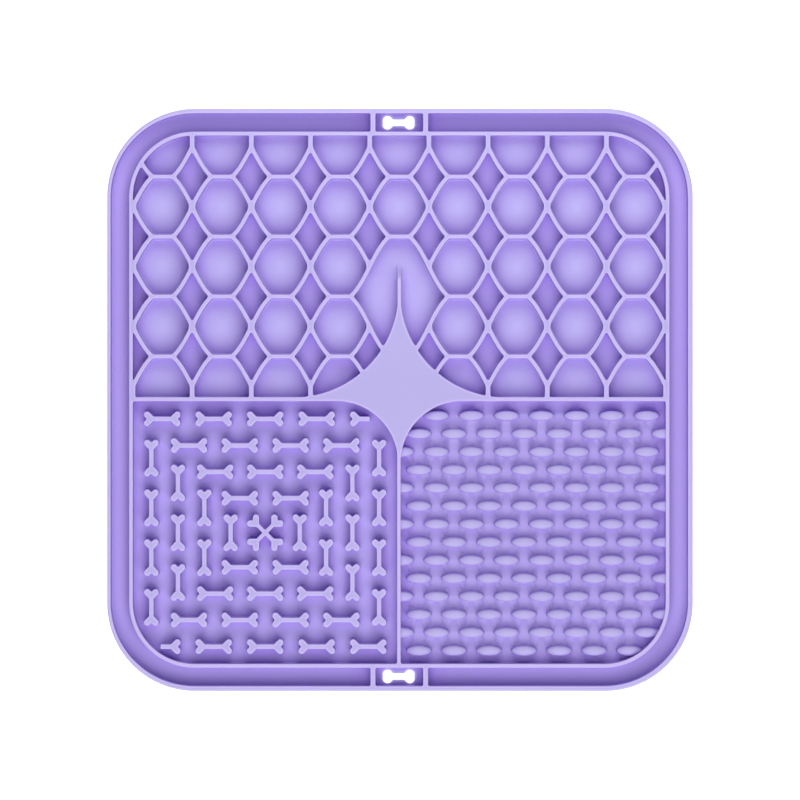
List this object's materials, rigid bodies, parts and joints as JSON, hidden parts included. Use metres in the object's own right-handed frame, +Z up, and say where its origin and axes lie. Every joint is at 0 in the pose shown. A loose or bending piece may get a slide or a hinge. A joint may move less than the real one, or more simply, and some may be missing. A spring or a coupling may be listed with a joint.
{
  "type": "lick mat",
  "caption": "Flat square silicone lick mat with round corners, a rim and gutter, a honeycomb half, a field of bones, a field of oval bumps, a star plateau and hanging holes.",
  "frame": {"origin": "centre of the underside, on the surface that the mat lies on", "axes": "+Z up out of the relief, +Y towards the honeycomb half, +X towards the side of the oval bumps"},
  "size_m": [0.2, 0.1986, 0.0075],
  "materials": {
    "silicone": "satin, lavender"
  },
  "bodies": {
    "root": {"mat": "silicone"}
  },
  "joints": []
}
